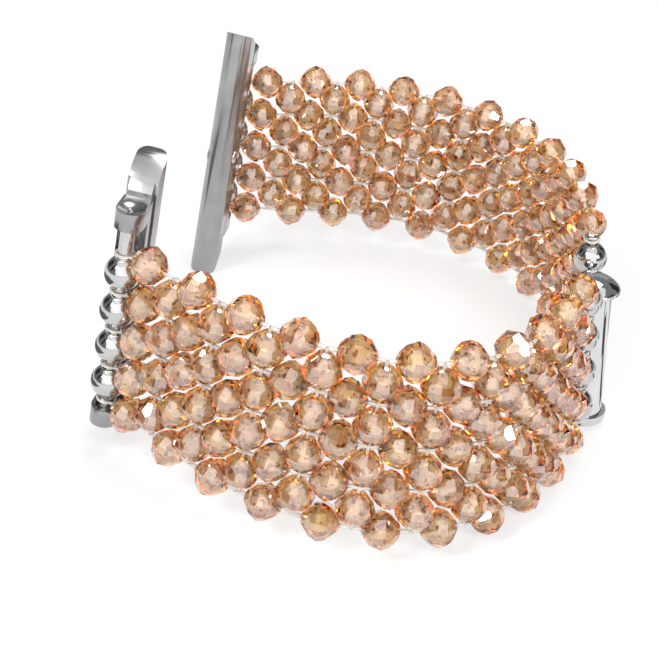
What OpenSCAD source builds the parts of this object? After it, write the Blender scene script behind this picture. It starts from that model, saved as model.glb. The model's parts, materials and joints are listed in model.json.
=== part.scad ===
// Bead-woven watch strap, closed by a slide tube clasp.
// Two mirrored halves start at the clasp. Each is a chain of links: a link has five crystals
// lengthwise and four crystals across, and turns on the thread through the crystals across it.
// The strap stands on its lower edge, with the watch side towards -X and the clasp towards +X.
// Origin: the middle of the box round the strap, on the surface that it stands on.

/* [Crystals] */
// Width of a crystal across its girdle corners
crystal_size = 4.3; // [3.7:0.05:4.35]
// Length of a crystal along its hole
crystal_length = 3.9; // [3.2:0.05:3.9]
// Distance of the slanting facets from the middle of a crystal
crystal_crown = 1.81; // [1.7:0.01:1.82]
// Hole through a crystal
crystal_hole = 1; // [0.8:0.05:1.1]

/* [Silver balls] */
// Diameter of a silver ball
ball_size = 3.8; // [3.4:0.05:3.85]
// Room between a ball and the rod through it, all round
ball_play = 0.05; // [0.02:0.01:0.1]

/* [Weave] */
// Diameter of the thread
thread_size = 0.6; // [0.4:0.05:0.65]
// Distance between two crossing columns
column_pitch = 5.95; // [5.9:0.05:6.4]
// Length of the first and last link, beside the silver balls
end_pitch = 6.8; // [6.75:0.05:7.2]
// Distance between the lengthwise rows in the middle of a half
row_pitch = 4.75; // [4.7:0.05:5.2]
// Distance between the lengthwise rows at the silver balls
end_row_pitch = 4.4; // [4.35:0.05:4.7]
// Columns over which the rows spread to the middle spacing, counted from the watch
spread_columns = 1.5; // [1:0.5:3]
// Columns over which the rows spread to the middle spacing, counted from the clasp
clasp_spread = 1; // [1:0.5:3]
// Height of a thread loop round a column
loop_height = 0.26; // [0.2:0.02:0.3]
// Width of thread in a loop, from its eye to its rim
loop_width = 0.42; // [0.3:0.02:0.5]
// Room between two pieces that turn or slide on each other
turn_play = 0.04; // [0.02:0.01:0.06]

/* [Curve round the wrist] */
// Largest bend between two links, in degrees
sharpest_bend = 17; // [8:0.5:18]
// Column with the largest bend, counted from the watch
sharpest_column = 5.8; // [5:0.1:7]
// Columns from the largest bend to no bend
bend_reach = 5; // [4.8:0.1:8]
// Bend where the strap meets the clasp, in degrees
clasp_bend = 11; // [0:0.2:20]
// Lean of the clasp, its top towards the wrist, in degrees
clasp_lean = 10.5; // [0:0.5:12]

/* [Clasp] */
// Outer diameter of the sleeve
sleeve_size = 4.6; // [4.4:0.05:4.9]
// Wall of the sleeve
sleeve_wall = 0.45; // [0.35:0.05:0.6]
// Length of the sleeve
sleeve_length = 15.5; // [14.5:0.5:15.5]
// Width of the slot in the sleeve
slot_width = 1.5; // [1.2:0.05:1.8]
// Stock left below the slot
slot_floor = 1.4; // [0.8:0.1:2]
// Height of the collar round the mouth of the sleeve
collar_height = 0.5; // [0.3:0.1:0.8]
// How far the collar stands out from the sleeve
collar_step = 0.18; // [0.1:0.02:0.25]
// Diameter of the foot of the sleeve
foot_size = 5.6; // [5:0.1:6]
// Thickness of the foot of the sleeve
foot_height = 0.9; // [0.6:0.1:1.2]
// Diameter of the domed cap
cap_size = 6.4; // [5.6:0.1:6.6]
// Height of the straight rim of the cap
cap_rim = 0.4; // [0.2:0.1:0.8]
// Height of the dome above the rim
cap_dome = 1.5; // [1:0.1:2]
// Distance of the middle of the tube below the middle of the strap
clasp_drop = 2.4; // [2:0.1:2.4]
// Distance from the middle of the tube to the rod on each side of it
clasp_reach = 5.3; // [5.25:0.05:5.6]
// Turn of the two rods towards the wrist, about the tube, in degrees
clasp_turn = 6; // [0:1:14]
// Diameter of the rod through the silver balls at the clasp
clasp_rod = 1.2; // [1:0.05:1.3]
// Thickness of a metal eye that holds the clasp rod
eye_height = 0.3; // [0.2:0.02:0.32]
// Width of metal round the rod in an eye
eye_width = 0.45; // [0.35:0.05:0.5]
// Thickness of the heads of the clasp rod
head_height = 0.25; // [0.15:0.05:0.4]

/* [Watch adapter] */
// Clear length of rod between the two ears
ear_gap = 21.6; // [21.2:0.1:22]
// Thickness of an ear
ear_thickness = 2; // [1.6:0.1:2.4]
// Diameter of an ear round the rod
ear_size = 3; // [2.8:0.05:3.1]
// Diameter of the rod through the silver balls at the watch
adapter_rod = 1.5; // [1.3:0.05:1.6]
// Length of rod seated in each ear
rod_seat = 1.45; // [1:0.05:1.5]
// Pin hole in the outer face of an ear
pin_hole = 0.7; // [0.4:0.05:0.9]
// Height of the middle of the adapter above the middle of the strap
adapter_rise = 1.1; // [0.6:0.05:1.4]
// Distance from the rod to the front of the adapter
front_reach = 1.2; // [1.1:0.05:1.3]
// Thickness of the bar in front of the rail
front_depth = 1.4; // [1.3:0.05:1.6]
// Width of the neck between the bar and the rail
neck_width = 2.5; // [2.2:0.05:2.7]
// Depth of the neck
neck_depth = 0.9; // [0.7:0.05:1.1]
// Width of the rail, through the thickness of the watch
rail_width = 3.2; // [3.1:0.05:3.4]
// Depth of the rail, into the watch
rail_depth = 3.4; // [3.2:0.05:3.6]
// Radius of the two long edges deep in the watch
rail_edge = 1.2; // [0.8:0.05:1.4]
// Length of the rail before its ends curve
rail_straight = 17.8; // [17:0.1:18.6]
// Radius of the curved ends, which follow the side of a watch
end_round = 8; // [7:0.1:9]
// Room between the hollow of the adapter and the silver balls
hollow_play = 0.25; // [0.2:0.05:0.3]

/* [Watch catch] */
// Diameter of the catch button
button_size = 1.8; // [1.4:0.05:1.9]
// How far the button stands out of the rail
button_travel = 0.35; // [0.2:0.05:0.4]
// How far the shoulder of the button stands out from it
shoulder_step = 0.3; // [0.2:0.05:0.35]
// Thickness of the shoulder, the lip over it and the plug behind
shoulder_height = 0.45; // [0.35:0.05:0.5]
// Wall of the spring behind the button
spring_wall = 0.3; // [0.2:0.05:0.4]

/* [Hidden] */
$fn = 64;
links = 11;
rows = [-2 : 2];
gaps = [-2 : 1];
tiny = 0.01;
halves = ["front", "back"];

// Room that two pieces side by side on a rod leave between them
stack_play = 0.03;
loop_size = 2 * (thread_size / 2 + turn_play + loop_width);
clasp_loop = 2 * (clasp_rod / 2 + turn_play + loop_width);
adapter_loop = 2 * (adapter_rod / 2 + turn_play + loop_width);
clasp_eye = 2 * (clasp_rod / 2 + eye_width);
core_size = sleeve_size - 2 * sleeve_wall - 4 * turn_play;
sleeve_top = sleeve_length / 2;
rod_top = 2 * end_row_pitch + stack_play + loop_height + stack_play;

neck_start = front_reach + front_depth;
rail_start = neck_start + neck_depth;
rail_end = rail_start + rail_depth;
rail_middle = (rail_start + rail_end) / 2;
round_centre = front_reach + end_round;
rail_half = rail_straight / 2 + sqrt(end_round * end_round - pow(round_centre - rail_end, 2));

// The curve of a half, seen from above with the clasp at the origin. Column 0 is the rod at
// the watch, column 11 the rod at the clasp, and link k runs from column k - 1 to column k.
function bend_at(n) = sharpest_bend * max(0, cos(90 * (n - sharpest_column) / bend_reach));
function heading(k) = k == links ? 90 - clasp_bend : heading(k + 1) - bend_at(k);
function link_length(k) = k == 1 || k == links ? end_pitch : column_pitch;
function column_foot(n) =
    n == links
    ? -clasp_reach * [sin(clasp_turn), cos(clasp_turn), 0]
    : column_foot(n + 1) - link_length(n + 1) * [cos(heading(n + 1)), sin(heading(n + 1)), 0];
function column_heading(n) =
    n == 0 ? heading(1) : n == links ? 90 : (heading(n) + heading(n + 1)) / 2;
function column_lean(n) = clasp_lean * n / links;
function column_up(n) =
    let (across = sin(column_lean(n)), turn = column_heading(n))
    [-sin(turn) * across, cos(turn) * across, cos(column_lean(n))];
function row_gap(n) =
    end_row_pitch
    + (row_pitch - end_row_pitch) * min(1, n / spread_columns, (links - n) / clasp_spread);
function crossing(n, row) = column_foot(n) + row * row_gap(n) * column_up(n);

// The strap leans towards the clasp until the lower ends of the two sliders and the lowest
// crystals, which are in the tenth link, stand on one surface.
lowest_link = 10;
crystal_foot = (crossing(lowest_link - 1, -2) + crossing(lowest_link, -2)) / 2
    - [0, 0, crystal_size / 2];
slider_foot = column_foot(0) + [rail_width / 2 - rail_edge, 0, adapter_rise - rail_half];
stand_tilt = atan((crystal_foot.z - slider_foot.z) / (crystal_foot.x - slider_foot.x));
stand_height = slider_foot.x * sin(stand_tilt) - slider_foot.z * cos(stand_tilt);

// Reach of the clasp and of the sliders along X, which sets the middle of the box
clasp_reach_x = foot_size / 2 * cos(clasp_lean - stand_tilt)
    + (clasp_drop + sleeve_top + foot_height) * sin(clasp_lean - stand_tilt);
slider_reach_x = (column_foot(0).x - rail_width / 2) * cos(stand_tilt)
    + (adapter_rise - rail_half) * sin(stand_tilt);
clasp_x = -(clasp_reach_x + slider_reach_x) / 2;

module stand() {
    translate([clasp_x, 0, stand_height])
        rotate([0, stand_tilt, 0])
            children();
}

module in_half(half) {
    stand()
        mirror([0, half == "back" ? 1 : 0, 0])
            children();
}

module at_column(n) {
    translate(column_foot(n))
        rotate([-column_lean(n), 0, 0] + [0, 0, column_heading(n)])
            children();
}

// Puts children at a share of the way along a lengthwise row of link k, with +Z along the row
module in_row(k, row, share) {
    start = crossing(k - 1, row);
    way = crossing(k, row) - start;
    rise = atan2(way.z, norm([way.x, way.y]));
    translate(start + share * way)
        rotate([0, 90 - rise, atan2(way.y, way.x)])
            rotate([0, 0, -(column_lean(k - 1) + column_lean(k)) / 2])
                children();
}

module bore(size, length) {
    cylinder(h = length, d = size, center = true);
}

// Eight slanting facets at each end of a crystal, the first at angle start
module slanting_facets(start) {
    intersection_for (turn = [start : 45 : start + 135])
        rotate([90, 0, turn])
            rotate([0, 0, 45])
                cube([2 * crystal_crown, 2 * crystal_crown, 2 * crystal_size], center = true);
}

// A round crystal: eight girdle facets, with sixteen slanting facets at each end
module crystal() {
    difference() {
        intersection() {
            cylinder(h = crystal_length, d = crystal_size, center = true, $fn = 8);
            slanting_facets(0);
            slanting_facets(22.5);
        }
        bore(crystal_hole, crystal_length + 1);
    }
}

module crystals(k) {
    color("burlywood") {
        for (row = rows)
            in_row(k, row, 0.5) crystal();
        if (k > 1)
            for (gap = gaps)
                at_column(k - 1)
                    translate([0, 0, (gap + 0.5) * row_gap(k - 1)])
                        crystal();
    }
}

// A loop of thread round column n, joined to the run of thread that leaves it at angle away.
// Two loops share a crossing, one above and one below its middle.
module thread_loop(n, row, away, side, size, height, reach) {
    at_column(n)
        translate([0, 0, row * row_gap(n) + side * (stack_play + height / 2)])
            rotate([0, 0, away - column_heading(n)]) {
                cylinder(h = height, d = size, center = true);
                translate([0, -thread_size / 2, -height / 2])
                    cube([reach, thread_size, height]);
            }
}

// The straight run of thread through a lengthwise crystal
module thread_run(k, row, start, end) {
    length = norm(crossing(k, row) - crossing(k - 1, row));
    in_row(k, row, 0)
        translate([0, 0, start])
            cylinder(h = length - start - end, d = thread_size);
}

module thread_column(n) {
    at_column(n)
        cylinder(h = 4 * row_gap(n) + 2 * (2 * stack_play + loop_height), d = thread_size, center = true);
}

// The thread of link k: it turns on column k, and the next link turns on its own column
module thread(k) {
    start_loop = k == 1 ? adapter_loop : loop_size;
    end_loop = k == links ? clasp_loop : loop_size;
    start = (k == 1 ? adapter_loop : loop_size) / 2 + (k == 1 ? -loop_width / 2 : stack_play);
    end = (k == links ? max(clasp_eye, clasp_loop) : loop_size) / 2 + stack_play;
    end_rod = k == links ? clasp_rod : thread_size;
    overlap = thread_size / 2;
    color("whitesmoke")
        difference() {
            union() {
                for (row = rows) {
                    thread_run(k, row, start, end);
                    thread_loop(k, row, heading(k) + 180, 1, end_loop, loop_height, end + overlap);
                    thread_loop(k - 1, row, heading(k), k == 1 ? 0 : -1, start_loop, loop_height,
                        start + overlap);
                }
                if (k > 1)
                    thread_column(k - 1);
            }
            at_column(k)
                bore(end_rod + 2 * turn_play, 5 * row_pitch);
            if (k == 1)
                at_column(0)
                    bore(adapter_rod + 2 * turn_play, 5 * row_pitch);
        }
}

module silver_balls(n, rod) {
    color("silver")
        for (gap = gaps)
            at_column(n)
                translate([0, 0, (gap + 0.5) * row_gap(n)])
                    difference() {
                        sphere(d = ball_size);
                        bore(rod + 2 * ball_play, ball_size + 1);
                    }
}

// The adapter's own axes: Z along its rod, +Y into the watch, +X towards the wrist
module at_adapter() {
    translate(column_foot(0) + [0, 0, adapter_rise])
        children();
}

module slider_rod() {
    color("silver")
        at_adapter()
            bore(adapter_rod, ear_gap + 2 * rod_seat);
}

// The rail with its two rounded long edges, and the neck in front of it
module rail() {
    length = 2 * rail_half + 1;
    flat = rail_width / 2 - rail_edge;
    intersection() {
        union() {
            translate([-rail_width / 2, rail_start, -length / 2])
                cube([rail_width, rail_depth - rail_edge, length]);
            translate([-flat, rail_start, -length / 2])
                cube([2 * flat, rail_depth, length]);
            for (side = [-1, 1])
                translate([side * flat, rail_end - rail_edge, 0])
                    cylinder(h = length, r = rail_edge, center = true);
            translate([-neck_width / 2, neck_start - tiny, -length / 2])
                cube([neck_width, neck_depth + 2 * tiny, length]);
        }
        union() {
            translate([-rail_width, front_reach, -rail_straight / 2])
                cube([2 * rail_width, rail_end, rail_straight]);
            for (end = [-1, 1])
                translate([0, round_centre, end * rail_straight / 2])
                    rotate([0, 90, 0])
                        cylinder(h = 2 * rail_width, r = end_round, center = true);
        }
    }
}

module ear(end) {
    reach = ear_gap / 2 + ear_thickness / 2;
    translate([0, 0, end * reach]) {
        cylinder(h = ear_thickness, d = ear_size, center = true);
        translate([-ear_size / 2, 0, -ear_thickness / 2])
            cube([ear_size, neck_start, ear_thickness]);
    }
}

// A rounded hollow in the outer face of an ear, round the pin hole
module ear_scoop(end) {
    scoop = ear_size;
    depth = 0.35;
    translate([0, 0, end * (ear_gap / 2 + ear_thickness + scoop - depth)])
        sphere(r = scoop);
}

module slider() {
    color("lightgray")
        at_adapter()
            difference() {
                union() {
                    rail();
                    translate([-ear_size / 2, front_reach, -ear_gap / 2 - ear_thickness])
                        cube([ear_size, front_depth, ear_gap + 2 * ear_thickness]);
                    for (end = [-1, 1])
                        ear(end);
                }
                cylinder(h = ear_gap, d = ball_size + 2 * hollow_play, center = true);
                bore(adapter_rod, ear_gap + 2 * rod_seat);
                bore(pin_hole, ear_gap + 4 * ear_thickness);
                for (end = [-1, 1])
                    ear_scoop(end);
                catch_pocket();
            }
}

// Axis of the catch, across the rail, with +Z towards the wrist
module at_catch() {
    translate([0, rail_middle, 0])
        rotate([0, 90, 0])
            children();
}

shoulder_size = button_size + 2 * shoulder_step;
lip_start = rail_width / 2 - shoulder_height;
shoulder_start = lip_start - stack_play - shoulder_height;
plug_end = shoulder_height - rail_width / 2;

module catch_pocket() {
    at_catch() {
        bore(button_size + 2 * turn_play, 2 * rail_width);
        translate([0, 0, lip_start - 2 * rail_width])
            cylinder(h = 2 * rail_width, d = shoulder_size + 2 * turn_play);
    }
}

module catch_button() {
    nose = rail_width / 2 + button_travel - shoulder_start;
    color("lightgray")
        at_adapter()
            at_catch()
                translate([0, 0, shoulder_start]) {
                    cylinder(h = shoulder_height, d = shoulder_size);
                    intersection() {
                        cylinder(h = nose, d = button_size);
                        translate([0, 0, nose - button_size])
                            sphere(r = button_size);
                    }
                }
}

// The spring stands on the plug that closes the pocket, clear of the pressed button
module catch_spring() {
    spring_size = shoulder_size - shoulder_step;
    spring_length = shoulder_start - button_travel - stack_play - plug_end;
    color("gray")
        at_adapter()
            at_catch() {
                translate([0, 0, -rail_width / 2])
                    cylinder(h = shoulder_height, d = shoulder_size);
                translate([0, 0, plug_end - tiny])
                    difference() {
                        cylinder(h = spring_length + tiny, d = spring_size);
                        bore(spring_size - 2 * spring_wall, 3 * rail_width);
                    }
            }
}

// Axes of the clasp: Z along the tube, -Y towards the front half
module at_clasp() {
    rotate([0, -clasp_lean, 0])
        translate([0, 0, -clasp_drop])
            children();
}

// The near rod as the clasp's own axes see it
rod_spot = [column_foot(links).x * cos(clasp_lean), column_foot(links).y];
rod_reach = norm(rod_spot);
rod_turn = atan2(rod_spot.x, -rod_spot.y);
rod_rise = clasp_drop - column_foot(links).x * sin(clasp_lean);

// Flat metal eyes that hold a clasp rod, below the thread loops of the three middle rows
module rod_eyes(start) {
    width = slot_width - 4 * turn_play;
    rotate([0, 0, rod_turn])
        for (row = [-1 : 1])
            translate([0, -rod_reach, rod_rise + row * end_row_pitch - stack_play - eye_height])
                difference() {
                    union() {
                        translate([-width / 2, 0, 0])
                            cube([width, rod_reach - start, eye_height]);
                        cylinder(h = eye_height, d = clasp_eye);
                    }
                    bore(clasp_rod, 3);
                }
}

module clasp_sleeve() {
    inside = sleeve_size - 2 * sleeve_wall;
    color("silver")
        stand()
            at_clasp() {
                difference() {
                    union() {
                        bore(sleeve_size, sleeve_length);
                        translate([0, 0, sleeve_top - collar_height])
                            cylinder(h = collar_height, d = sleeve_size + 2 * collar_step);
                        translate([0, 0, -sleeve_top - foot_height])
                            cylinder(h = foot_height + tiny, d = foot_size);
                    }
                    translate([0, 0, -sleeve_top])
                        cylinder(h = sleeve_length + 1, d = inside);
                    rotate([0, 0, rod_turn])
                        translate([-slot_width / 2, -foot_size, -sleeve_top + slot_floor])
                            cube([slot_width, foot_size, sleeve_length]);
                }
                mirror([0, 1, 0])
                    rod_eyes(inside / 2 + sleeve_wall / 2);
            }
}

module clasp_core() {
    cap_start = sleeve_top + stack_play;
    dome_radius = (cap_size * cap_size / 4 + cap_dome * cap_dome) / (2 * cap_dome);
    core_start = -sleeve_top + slot_floor;
    color("silver")
        stand()
            at_clasp() {
                translate([0, 0, core_start])
                    cylinder(h = cap_start - core_start + tiny, d = core_size);
                rod_eyes(core_size / 2 - sleeve_wall);
                intersection() {
                    translate([0, 0, cap_start])
                        cylinder(h = cap_rim + cap_dome, d = cap_size);
                    translate([0, 0, cap_start + cap_rim + cap_dome - dome_radius])
                        sphere(r = dome_radius);
                }
            }
}

module clasp_rod_piece() {
    color("silver")
        at_column(links) {
            bore(clasp_rod, 2 * rod_top);
            for (end = [-1, 1])
                translate([0, 0, end * (rod_top + head_height / 2)])
                    cylinder(h = head_height + tiny, d = clasp_rod + eye_width, center = true);
        }
}

for (half = halves) {
    for (k = [1 : links]) {
        in_half(half) crystals(k);
        in_half(half) thread(k);
    }
    in_half(half) slider();
    in_half(half) slider_rod();
    in_half(half) silver_balls(0, adapter_rod);
    in_half(half) catch_button();
    in_half(half) catch_spring();
    in_half(half) clasp_rod_piece();
    in_half(half) silver_balls(links, clasp_rod);
}
clasp_sleeve();
clasp_core();
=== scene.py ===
import bmesh
import bpy
import json
import math
import random
from mathutils import Matrix, Vector


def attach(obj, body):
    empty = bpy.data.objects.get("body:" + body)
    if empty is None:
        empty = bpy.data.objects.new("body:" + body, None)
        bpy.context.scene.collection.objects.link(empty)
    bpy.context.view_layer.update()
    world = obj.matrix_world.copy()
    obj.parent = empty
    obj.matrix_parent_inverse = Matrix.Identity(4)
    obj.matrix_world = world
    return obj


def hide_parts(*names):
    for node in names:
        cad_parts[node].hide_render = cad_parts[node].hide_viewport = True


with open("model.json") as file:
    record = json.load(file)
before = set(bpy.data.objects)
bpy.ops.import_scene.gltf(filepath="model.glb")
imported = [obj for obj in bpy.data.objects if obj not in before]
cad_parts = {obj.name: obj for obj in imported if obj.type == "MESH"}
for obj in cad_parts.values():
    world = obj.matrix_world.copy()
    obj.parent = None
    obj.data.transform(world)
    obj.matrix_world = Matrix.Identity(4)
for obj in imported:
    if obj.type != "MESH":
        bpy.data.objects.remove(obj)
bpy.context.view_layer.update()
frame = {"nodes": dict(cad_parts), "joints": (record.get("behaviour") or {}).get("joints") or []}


# Crystals. Round beads of cut glass, 4 mm across, ground in rings of small facets round a drilled
# hole and coated with a thin champagne film. Five lie along the strap in each link and four lie
# across it, on the thread that the link turns on.
class Wire:
    """A socket in a node tree, which takes part in sums like a number.

    Without a socket it stands for the tree alone, where the first node is made.
    """

    def __init__(self, tree, socket=None):
        self.tree = tree
        self.socket = socket

    def node(self, kind, settings, inputs, out=0):
        """A new node, given its settings first and then the values or wires it takes in."""
        made = self.tree.nodes.new(kind)
        stops = settings.pop("stops", None)
        for name, value in settings.items():
            setattr(made, name, value)
        if stops:
            ramp = made.color_ramp.elements
            while len(ramp) < len(stops):
                ramp.new(0.5)
            for element, (spot, colour) in zip(ramp, stops):
                element.position = spot
                element.color = (*colour, 1)
        for name, value in inputs.items():
            if isinstance(value, Wire):
                self.tree.links.new(value.socket, made.inputs[name])
            else:
                made.inputs[name].default_value = value
        return Wire(self.tree, made.outputs[out])

    def maths(self, operation, a, b):
        return self.node("ShaderNodeMath", {"operation": operation}, {0: a, 1: b})

    def __add__(self, other):
        return self.maths("ADD", self, other)

    def __radd__(self, other):
        return self.maths("ADD", other, self)

    def __mul__(self, other):
        return self.maths("MULTIPLY", self, other)

    def __rmul__(self, other):
        return self.maths("MULTIPLY", other, self)

    def noise(self, scale, detail, rough=0.5):
        return self.node("ShaderNodeTexNoise", {}, {"Vector": self, "Scale": scale,
                                                    "Detail": detail, "Roughness": rough})

    def ramp(self, *stops):
        return self.node("ShaderNodeValToRGB", {"stops": stops}, {"Fac": self})

    def mix(self, a, b):
        return self.node("ShaderNodeMix", {"data_type": "RGBA"}, {0: self, 6: a, 7: b}, 2)

    def times(self, other):
        return self.node("ShaderNodeMix", {"data_type": "RGBA", "blend_type": "MULTIPLY"},
                         {0: 1.0, 6: self, 7: other}, 2)

    def attribute(self, name):
        return self.node("ShaderNodeAttribute", {"attribute_name": name}, {}, "Fac")

    def bump(self, strength, depth):
        return self.node("ShaderNodeBump", {}, {"Strength": strength, "Distance": depth,
                                                "Height": self})

    def feed(self, name, receiver="Principled BSDF"):
        self.tree.links.new(self.socket, self.tree.nodes[receiver].inputs[name])


def new_finish(name, **constants):
    """A material, and the wire that brings each point's place on the piece."""
    material = bpy.data.materials.new(name)
    material.use_nodes = True
    shader = material.node_tree.nodes["Principled BSDF"]
    for socket, value in constants.items():
        shader.inputs[socket.replace("_", " ")].default_value = value
    return material, Wire(material.node_tree).node("ShaderNodeTexCoord", {}, {}, "Object")


MM = 0.001
# Colour of the painted dark refraction in the glass.
painted_dark_refraction_colour = (0.20, 0.04, 0.004, 1)
amber = (0.96, 0.66, 0.06, 1)
amber_density = 600  # per metre: the rims, where light goes far through the glass, turn amber
crystal_glass, place = new_finish("crystal_glass", IOR=1.5, Transmission_Weight=1.0,
                                  Coat_Weight=1.0, Coat_Roughness=0.01, Coat_IOR=2.5)
# Painted refraction: each facet gets a random tint, from amber to pale, for the light that it
# bends through the bead.
painted_refraction_tint = place.attribute("facet").ramp(
    (0.0, (0.95, 0.68, 0.52)), (0.3, (0.97, 0.91, 0.86)), (0.75, (1.0, 0.98, 0.98)))
pink_to_gold = place.attribute("bead").ramp(
    (0.0, (0.97, 0.88, 0.90)), (0.45, (0.97, 0.93, 0.92)),
    (0.6, (0.97, 0.92, 0.76)), (1.0, (0.95, 0.90, 0.68)))
# Painted dark refraction: small dark brown patches in the glass's colour stand in for the dark
# surroundings that the facets bend into view.
painted_dark_refraction_mask = place.noise(scale=1700, detail=1.0).ramp(
    (0.625, (0, 0, 0)), (0.635, (1, 1, 1)))
painted_dark_refraction_mask.mix(painted_refraction_tint.times(pink_to_gold), painted_dark_refraction_colour).feed("Base Color")
(place.noise(scale=600, detail=2.0) * 0.018).feed("Roughness")
place.node("ShaderNodeBevel", {"samples": 4}, {"Radius": 0.04 * MM}).feed("Normal")
place.node("ShaderNodeVolumeAbsorption", {}, {"Color": amber, "Density": amber_density}).feed(
    "Volume", "Material Output")

# The milky middle of a coated bead, which is light that the coated back of the bead reflects:
# painted as a pale ball inside the bead, faintly clouded.
grey_cloud = (0.66, 0.60, 0.56, 1)
pale_middle, place = new_finish("pale_middle_lining", Roughness=0.35, Coat_Weight=0.4)
# Painted reflection: each facet of the ball gets a random shade, for the back facets of the bead
# that reflect into its middle.
painted_back_reflection = place.attribute("facet").ramp(
    (0.1, (0.52, 0.38, 0.34)), (0.5, (0.76, 0.80, 0.97)), (0.9, (0.88, 0.90, 1.0)))
clouds = place.noise(scale=1500, detail=3.0, rough=0.6).ramp(
    (0.38, (0.1, 0.1, 0.1)), (0.55, (0, 0, 0)))
clouds.mix(painted_back_reflection, grey_cloud).feed("Base Color")

# The cut, in millimetres and degrees from the middle of the bead.
blank_size = 6
end_reach = 1.95
facets_round = 10
facet_rings = [(20, 18, 1.88), (45, 0, 1.83), (66, 18, 1.96)]  # lift, first turn, reach
lift_error, turn_error = 3, 4
hole_lip = 0.09
lining_radius = 1.1


def fixed_order(face):
    """A key to sort by, since the operators leave the faces in another order on each run."""
    return face.material_index, *(round(part, 3) for part in face.calc_center_median())


def cut_crystal():
    """One crystal with its hole along Z, ground plane by plane from a block, in millimetres."""
    grind = random.Random(11)
    cuts = [(Vector((0, 0, side)), end_reach) for side in (1, -1)]
    for ring_lift, first_turn, reach in facet_rings:
        for step in range(facets_round):
            for side in (1, -1):
                lift = math.radians(ring_lift + grind.uniform(-lift_error, lift_error))
                turn = math.radians(first_turn + 360 / facets_round * step
                                    + grind.uniform(-turn_error, turn_error))
                cuts.append((Vector((math.cos(lift) * math.cos(turn),
                                     math.cos(lift) * math.sin(turn),
                                     math.sin(lift) * side)), reach))
    gem = bmesh.new()
    bmesh.ops.create_cube(gem, size=blank_size)
    for way, reach in cuts:
        bmesh.ops.bisect_plane(gem, geom=gem.verts[:] + gem.edges[:] + gem.faces[:],
                               dist=1e-5, plane_co=way * reach, plane_no=way, clear_outer=True)
        rim = [edge for edge in gem.edges if edge.is_boundary]
        bmesh.ops.contextual_create(gem, geom=rim)
    ends = [face for face in gem.faces if abs(face.normal.z) > 0.99]
    bmesh.ops.inset_individual(gem, faces=ends, thickness=hole_lip)
    bmesh.ops.delete(gem, geom=ends, context="FACES_ONLY")
    bmesh.ops.bridge_loops(gem, edges=[edge for edge in gem.edges if edge.is_boundary])
    bmesh.ops.recalc_face_normals(gem, faces=gem.faces)
    ground = len(gem.faces)
    bmesh.ops.create_uvsphere(gem, u_segments=8, v_segments=5, radius=lining_radius)
    gem.faces.ensure_lookup_table()
    for face in gem.faces[ground:]:
        face.material_index = 1
    shade = gem.faces.layers.float.new("facet")
    for face in sorted(gem.faces, key=fixed_order):
        face[shade] = grind.random()
    cut = bpy.data.meshes.new("crystal")
    gem.to_mesh(cut)
    gem.free()
    return cut


def place_copies(name, pattern, spots):
    """One mesh with a copy of the pattern at each spot, given as (middle, axis, turn)."""
    whole = bmesh.new()
    whole.faces.layers.float.new("bead")
    for middle, axis, turn in spots:
        start, first = len(whole.verts), len(whole.faces)
        whole.from_mesh(pattern)
        whole.verts.ensure_lookup_table()
        whole.faces.ensure_lookup_table()
        for face in whole.faces[first:]:
            face[whole.faces.layers.float["bead"]] = turn % 1
        stand = axis.to_track_quat("Z", "Y").to_matrix().to_4x4()
        spin = Matrix.Rotation(turn, 4, "Z")
        bmesh.ops.transform(whole, verts=whole.verts[start:],
                            matrix=Matrix.Translation(middle) @ stand @ spin @ Matrix.Scale(MM, 4))
    mesh = bpy.data.meshes.new(name)
    whole.to_mesh(mesh)
    whole.free()
    piece = bpy.data.objects.new(name, mesh)
    bpy.context.scene.collection.objects.link(piece)
    return piece


links = 11
rows = (-2, -1, 0, 1, 2)
between_rows = (-1.5, -0.5, 0.5, 1.5)
end_rows = 4.4 * MM
middle_rows = 4.75 * MM
spread_columns = 1.5  # the rows take this many columns to spread at the adapter
hinges = {joint["name"]: joint for joint in frame["joints"]}


def column(half, n):
    """The foot and the direction of the thread that link n turns on, or of the rod for n = 0."""
    hinge = hinges[f"{half}_bend_{n}" if n else f"{half}_adapter_turn"]
    return Vector(hinge["pos_m"]), Vector(hinge["axis"]).normalized()


def row_gap(n):
    return end_rows + (middle_rows - end_rows) * min(1, n / spread_columns, links - n)


def crossing(half, n, row):
    """The point where a row, or a place between two rows, meets column n."""
    foot, up = column(half, n)
    return foot + up * row * row_gap(n)


cut = cut_crystal()
luck = random.Random(4)  # of the seeds tried, neighbours overlap least with this one
full_turn = 6.3
for half in ("front", "back"):
    for k in range(1, links + 1):
        spots = []
        for row in rows:
            start, end = crossing(half, k - 1, row), crossing(half, k, row)
            spots.append(((start + end) / 2, (end - start).normalized(),
                          luck.uniform(0, full_turn)))
        if k > 1:
            up = column(half, k - 1)[1]
            for gap in between_rows:
                spots.append((crossing(half, k - 1, gap), up, luck.uniform(0, full_turn)))
        gems = place_copies(f"{half}_gems_{k}", cut, spots)
        gems.data.materials.append(crystal_glass)
        gems.data.materials.append(pale_middle)
        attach(gems, f"{half}_link_{k}")
        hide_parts(f"{half}_crystals_{k}")


# Thread. Clear nylon line, about half a millimetre thick, which passes along each row and turns
# into the crystals across the strap at every crossing. At both ends it loops round the rods.
nylon, place = new_finish("nylon", IOR=1.53, Transmission_Weight=0.55, Roughness=0.25)
place.noise(scale=500, detail=2.0).ramp(
    (0.4, (0.86, 0.79, 0.73)), (0.65, (0.97, 0.94, 0.91))).feed("Base Color")
place.noise(scale=4000, detail=2.0).bump(strength=0.25, depth=0.04 * MM).feed("Normal")
line_radius = 0.22 * MM
end_line_radius = 0.15 * MM
rod_clearance = 1.1 * MM
crossing_clearance = 0.1 * MM
slider_loop, clasp_loop = 0.98 * MM, 0.83 * MM
clasp_loop_lift = 0.18 * MM
loop_reach = 2.2 * MM
loop_turns = [math.radians(20 + 32 * i) for i in range(11)]


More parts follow.
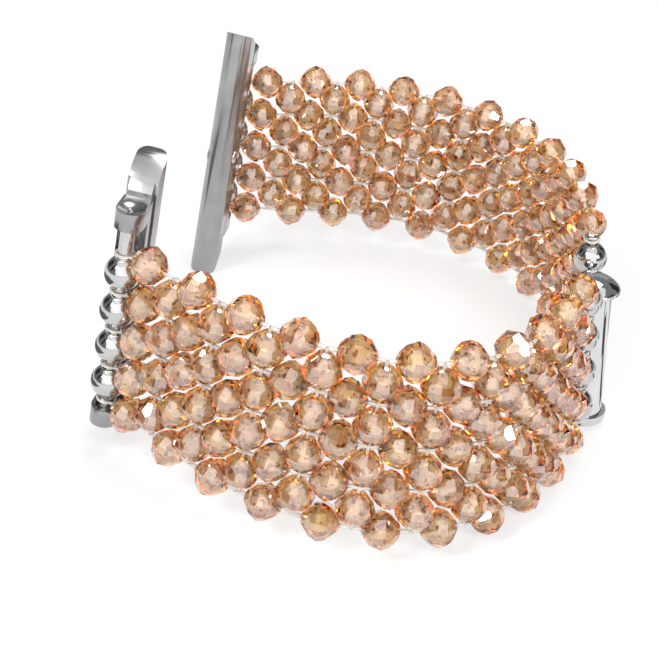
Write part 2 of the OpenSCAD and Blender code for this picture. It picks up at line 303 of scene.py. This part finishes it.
def rod_loop(half, n, row, lead):
    """A loop round the rod of column n, which comes from the crystals and goes back to them."""
    up = column(half, n)[1]
    middle = crossing(half, n, row) + up * (clasp_loop_lift if n else 0.0)
    cross = up.cross(lead).normalized()
    ring = clasp_loop if n else slider_loop
    loop = [middle + (lead * math.cos(turn) + cross * math.sin(turn)) * ring
            for turn in loop_turns]
    return [middle + lead * loop_reach, *loop, middle + lead * loop_reach]


def lay_thread(name, runs, radius):
    """A round line through each run of points, made into one mesh."""
    line = bpy.data.curves.new(name, "CURVE")
    line.dimensions = "3D"
    line.bevel_depth = radius
    line.bevel_resolution = 2
    line.resolution_u = 4
    line.use_fill_caps = True
    for points in runs:
        run = line.splines.new("BEZIER")
        run.bezier_points.add(len(points) - 1)
        for knot, point in zip(run.bezier_points, points):
            knot.co = point
            knot.handle_left_type = knot.handle_right_type = "AUTO"
    laid = bpy.data.objects.new(name, line)
    mesh = bpy.data.meshes.new_from_object(laid)
    bpy.data.curves.remove(line)
    mesh.name = name
    strand = bpy.data.objects.new(name, mesh)
    bpy.context.scene.collection.objects.link(strand)
    strand.data.materials.append(nylon)
    for face in mesh.polygons:
        face.use_smooth = True
    return strand


for half in ("front", "back"):
    for k in range(1, links + 1):
        runs = []
        for row in rows:
            start, end = crossing(half, k - 1, row), crossing(half, k, row)
            way = (end - start).normalized()
            from_start = rod_clearance if k == 1 else crossing_clearance
            from_end = rod_clearance if k == links else crossing_clearance
            runs.append([start + way * from_start, (start + end) / 2, end - way * from_end])
            if k == 1:
                runs.append(rod_loop(half, 0, row, way))
            if k == links:
                runs.append(rod_loop(half, links, row, -way))
        if k > 1:
            runs.append([crossing(half, k - 1, row) for row in rows])
        strands = lay_thread(f"{half}_strands_{k}", runs,
                             end_line_radius if k in (1, links) else line_radius)
        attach(strands, f"{half}_link_{k}")
        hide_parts(f"{half}_thread_{k}")


# Silver balls. Seamless polished balls, 3.8 mm across, strung on the steel rods where the strap
# meets the adapters and the clasp.
silver, place = new_finish("silver", Metallic=1.0)
place.noise(scale=900, detail=3.0).ramp(
    (0.35, (0.50, 0.50, 0.50)), (0.6, (0.56, 0.56, 0.56))).feed("Base Color")
(place.noise(scale=2600, detail=3.0) * 0.09 + 0.015).feed("Roughness")
ball_radius = 1.9
slider_bore, clasp_bore = 0.8, 0.65
bore_edge = 0.08


def drilled_ball(bore):
    """A ball with its hole along Z and the edge of the hole broken, in millimetres."""
    ball = bmesh.new()
    bmesh.ops.create_uvsphere(ball, u_segments=40, v_segments=28, radius=ball_radius)
    top = math.sqrt(ball_radius ** 2 - bore ** 2)
    for side in (1, -1):
        bmesh.ops.bisect_plane(ball, geom=ball.verts[:] + ball.edges[:] + ball.faces[:],
                               plane_co=(0, 0, side * top), plane_no=(0, 0, side),
                               clear_outer=True)
    bmesh.ops.bridge_loops(ball, edges=[edge for edge in ball.edges if edge.is_boundary])
    rims = [edge for edge in ball.edges if abs(edge.verts[0].co.z - edge.verts[1].co.z) < 1e-4
            and abs(abs(edge.verts[0].co.z) - top) < 1e-4]
    bmesh.ops.bevel(ball, geom=rims, offset=bore_edge, segments=2, profile=0.5, affect="EDGES",
                    material=-1)
    bmesh.ops.recalc_face_normals(ball, faces=ball.faces)
    for face in ball.faces:
        face.smooth = True
    drilled = bpy.data.meshes.new("ball")
    ball.to_mesh(drilled)
    ball.free()
    return drilled


for half in ("front", "back"):
    for n, name, bore, body in ((0, "slider", slider_bore, f"{half}_adapter"),
                                (links, "clasp", clasp_bore,
                                 "core" if half == "front" else "sleeve")):
        up = column(half, n)[1]
        spots = [(crossing(half, n, gap), up, 0) for gap in between_rows]
        balls = place_copies(f"{half}_{name}_silver", drilled_ball(bore), spots)
        balls.data.materials.append(silver)
        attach(balls, body)
        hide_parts(f"{half}_{name}_balls")


# Clasp and rods. A slotted tube and the domed core that slides out of it, polished bright, and
# the steel rods that hold the strap's ends in the flat eyes of the clasp and in the adapters.
chrome, place = new_finish("chrome", Metallic=1.0)
place.noise(scale=300, detail=2.0).ramp(
    (0.4, (0.64, 0.64, 0.645)), (0.6, (0.68, 0.68, 0.68))).feed("Base Color")
(place.noise(scale=1500, detail=3.0) * 0.05 + 0.01).feed("Roughness")
clasp_ease, rod_head_ease, rod_ease = 0.05 * MM, 0.08 * MM, 0.03 * MM
same_point = 0.002 * MM
same_plane = math.radians(0.6)
sharp_edge = math.radians(28)


def ease_edges(node, name, width, body, material, segments=2):
    """A copy of a CAD node whose sharp edges are broken, as a polished piece's are."""
    mesh = frame["nodes"][node].data.copy()
    mesh.name = name
    mesh.materials.clear()
    soft = bmesh.new()
    soft.from_mesh(mesh)
    bmesh.ops.remove_doubles(soft, verts=soft.verts, dist=same_point)
    bmesh.ops.dissolve_limit(soft, angle_limit=same_plane, verts=soft.verts, edges=soft.edges)
    for face in soft.faces:
        face.smooth = True
    soft.to_mesh(mesh)
    soft.free()
    piece = bpy.data.objects.new(name, mesh)
    bpy.context.scene.collection.objects.link(piece)
    mesh.materials.append(material)
    edge = piece.modifiers.new("edges", "BEVEL")
    edge.width = width
    edge.segments = segments
    edge.limit_method = "ANGLE"
    edge.angle_limit = sharp_edge
    edge.harden_normals = True
    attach(piece, body)
    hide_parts(node)


ease_edges("clasp_sleeve", "sleeve_tube", clasp_ease, "sleeve", chrome)
ease_edges("clasp_core", "core_and_cap", clasp_ease, "core", chrome)
for half in ("front", "back"):
    ease_edges(f"{half}_clasp_rod", f"{half}_clasp_pin", rod_head_ease,
               "core" if half == "front" else "sleeve", silver)
    ease_edges(f"{half}_slider_rod", f"{half}_slider_pin", rod_ease, f"{half}_adapter",
               silver)


# Adapters. Milled steel, brushed along its length: two ears hold the rod, and the rail slides
# into a groove, where the sprung button in the middle of it catches.
satin, place = new_finish("satin_steel", Metallic=1.0)
along_grain = place.node("ShaderNodeMapping", {}, {"Vector": place, "Scale": (1, 1, 0.06)})
place.noise(scale=400, detail=2.0).ramp(
    (0.4, (0.34, 0.34, 0.35)), (0.6, (0.38, 0.38, 0.38))).feed("Base Color")
(along_grain.noise(scale=5000, detail=3.0) * 0.2 + 0.12).feed("Roughness")
along_grain.noise(scale=7000, detail=2.0).bump(strength=0.12, depth=0.02 * MM).feed("Normal")
dark_spring, place = new_finish("dark_spring", Metallic=1.0)
place.noise(scale=900, detail=2.0).ramp(
    (0.4, (0.30, 0.30, 0.31)), (0.6, (0.40, 0.40, 0.41))).feed("Base Color")
(place.noise(scale=2000, detail=3.0) * 0.2 + 0.25).feed("Roughness")
body_ease, button_ease, coil_ease = 0.12 * MM, 0.05 * MM, 0.03 * MM
for half in ("front", "back"):
    ease_edges(f"{half}_slider", f"{half}_slider_body", body_ease, f"{half}_adapter",
               satin, segments=3)
    ease_edges(f"{half}_catch_button", f"{half}_catch_head", button_ease, f"{half}_catch",
               silver)
    ease_edges(f"{half}_catch_spring", f"{half}_catch_coil", coil_ease, f"{half}_adapter",
               dark_spring)


# Floor. Pale and plain. Camera, glossy and glass rays see it whitened, more so away from the
# strap, while its own paint keeps the strap's shadow. Places and sizes are in metres.
def studio_card(name, middle, size, turn, paint):
    """A flat sheet of the given size, which is not attached to the strap."""
    card = bmesh.new()
    bmesh.ops.create_grid(card, x_segments=1, y_segments=1, size=0.5)  # one metre square
    bmesh.ops.transform(card, verts=card.verts, matrix=Matrix.LocRotScale(
        Vector(middle), turn, Vector((*size, 1))))
    mesh = bpy.data.meshes.new(name)
    card.to_mesh(mesh)
    card.free()
    sheet = bpy.data.objects.new(name, mesh)
    bpy.context.scene.collection.objects.link(sheet)
    mesh.materials.append(paint)
    return sheet


def matt_paint(name, tone, glow=0.0):
    return new_finish(name, Base_Color=(tone, tone, tone, 1), Roughness=0.9,
                      Emission_Color=(1, 1, 1, 1), Emission_Strength=glow)


floor_paint, place = matt_paint("floor", 0.93)
painted = Wire(place.tree, place.tree.nodes["Principled BSDF"].outputs[0])
white = place.node("ShaderNodeEmission", {}, {"Color": (1, 1, 1, 1)})
shown, glossy, clear = [place.node("ShaderNodeLightPath", {}, {}, kind) for kind in
                        ("Is Camera Ray", "Is Glossy Ray", "Is Transmission Ray")]
from_strap = place.node("ShaderNodeVectorMath", {"operation": "LENGTH"}, {0: place}, 1)
whitened = from_strap.ramp((0.12, (0.6, 0.6, 0.6)), (0.5, (1, 1, 1)))
place.node("ShaderNodeMixShader", {}, {0: shown * whitened + glossy * 0.5 + clear * 0.6,
                                       1: painted, 2: white}).feed("Surface", "Material Output")
studio_card("floor", (0, 0, -0.0001), (3, 3), None, floor_paint)


# Flags. Dark cards, seen only in reflections: a ring of upright ones stands round the strap and
# a few small ones lie beside it. They draw the dark lines on the metal.
ring_radius = 0.6
ring_height = 0.28
upright = 0.34
ring_flags = ((90, 0.50, 0.50), (128, 0.22, 0.10), (168, 0.34, 0.03), (208, 0.14, 0.02),
              (325, 0.16, 0.03), (0, 0.26, 0.05), (45, 0.20, 0.02))  # degrees, width, tone
for i, (around, width, tone) in enumerate(ring_flags):
    spot = Vector((ring_radius * math.cos(math.radians(around)),
                   ring_radius * math.sin(math.radians(around)), ring_height))
    flag = studio_card(f"flag_{i}", spot, (width, upright), spot.to_track_quat("Z", "Y"),
                       matt_paint(f"flag_{i}", tone)[0])
    flag.visible_camera = flag.visible_diffuse = flag.visible_transmission = False
    flag.visible_shadow = False
ground_flags = (((0.052, 0.035), (0.034, 0.034), 0.25), ((0.055, 0.004), (0.044, 0.004), 0.04),
                ((0.046, -0.024), (0.020, 0.006), 0.10), ((0.020, -0.042), (0.012, 0.040), 0.40),
                ((-0.060, -0.02), (0.040, 0.05), 0.10))  # middle, size, tone
for i, (spot, size, tone) in enumerate(ground_flags):
    flag = studio_card(f"ground_flag_{i}", (*spot, 0.0), size, None,
                       matt_paint(f"ground_flag_{i}", tone)[0])
    flag.visible_camera = flag.visible_diffuse = flag.visible_transmission = False
    flag.visible_shadow = False


# Panels. A window in front of the strap and a skylight over it, seen only in reflections, where
# they give the crystals their pale facets.
for name, spot, size, glow in (("window", (0.07, -0.47, 0.29), (0.90, 0.62), 0.95),
                               ("skylight", (0.03, -0.16, 0.60), (0.80, 0.50), 0.52)):
    panel = studio_card(name, spot, size, Vector(spot).to_track_quat("Z", "Y"),
                        matt_paint(name, 0.8, glow)[0])
    panel.visible_camera = panel.visible_diffuse = panel.visible_transmission = False
    panel.visible_shadow = False


# Surround and lamps. A white surround, a little dimmer in reflections, and small soft lamps:
# three light the strap and three put the sparks on the crystals.
world = bpy.data.worlds.new("studio")
bpy.context.scene.world = world
world.use_nodes = True
world.node_tree.nodes["Background"].inputs["Color"].default_value = (1, 1, 1, 1)
shown, glossy, clear = [Wire(world.node_tree).node("ShaderNodeLightPath", {}, {}, kind)
                        for kind in ("Is Camera Ray", "Is Glossy Ray", "Is Transmission Ray")]
(shown * 0.6 + clear * 1.05 + 0.4 + glossy * -0.15).feed("Strength", "Background")


def lamp(name, middle, aim, size, power):
    light = bpy.data.lights.new(name, "AREA")
    light.size = size
    light.energy = power
    stand = bpy.data.objects.new(name, light)
    bpy.context.scene.collection.objects.link(stand)
    stand.location = middle
    stand.rotation_euler = (Vector(aim) - Vector(middle)).to_track_quat("-Z", "Y").to_euler()


middle_of_loop = (0, 0, 0.015)
front_half = (0, -0.02, 0.015)
lamp("key", (-0.25, -0.35, 0.42), front_half, size=0.14, power=1.6)
lamp("side", (0.38, -0.22, 0.22), middle_of_loop, size=0.1, power=0.8)
lamp("top", (0.05, 0.12, 0.45), middle_of_loop, size=0.2, power=0.8)
lamp("glint_a", (0.14, -0.40, 0.46), front_half, size=0.07, power=0.4)
lamp("glint_b", (-0.06, -0.50, 0.24), front_half, size=0.07, power=0.4)
lamp("glint_c", (0.30, -0.38, 0.40), front_half, size=0.07, power=0.4)


# Camera. In front of the strap and above it, rolled a little, as the photograph was taken: the
# place, the angles and the focal length come from a fit to the beads' middles.
image_width = 658
focal_pixels = 1611.4
sensor_width = 36
camera_place = (0.016390, -0.161710, 0.101121)
around, above, roll = math.radians(7.849), math.radians(30.363), math.radians(6.438)
ahead = Vector((-math.sin(around) * math.cos(above), math.cos(around) * math.cos(above),
                -math.sin(above)))
right = Vector((math.cos(around), math.sin(around), 0))
up = right.cross(ahead)
turned = right * math.cos(roll) + up * math.sin(roll)
lifted = up * math.cos(roll) - right * math.sin(roll)
camera_data = bpy.data.cameras.new("camera")
camera_data.sensor_width = sensor_width
camera_data.lens = sensor_width * focal_pixels / image_width
camera_data.clip_start = 0.005
camera = bpy.data.objects.new("camera", camera_data)
camera.matrix_world = Matrix.Translation(camera_place) @ Matrix(
    (turned, lifted, -ahead)).transposed().to_4x4()
bpy.context.scene.collection.objects.link(camera)
bpy.context.scene.camera = camera
bpy.context.scene.view_settings.view_transform = "Standard"
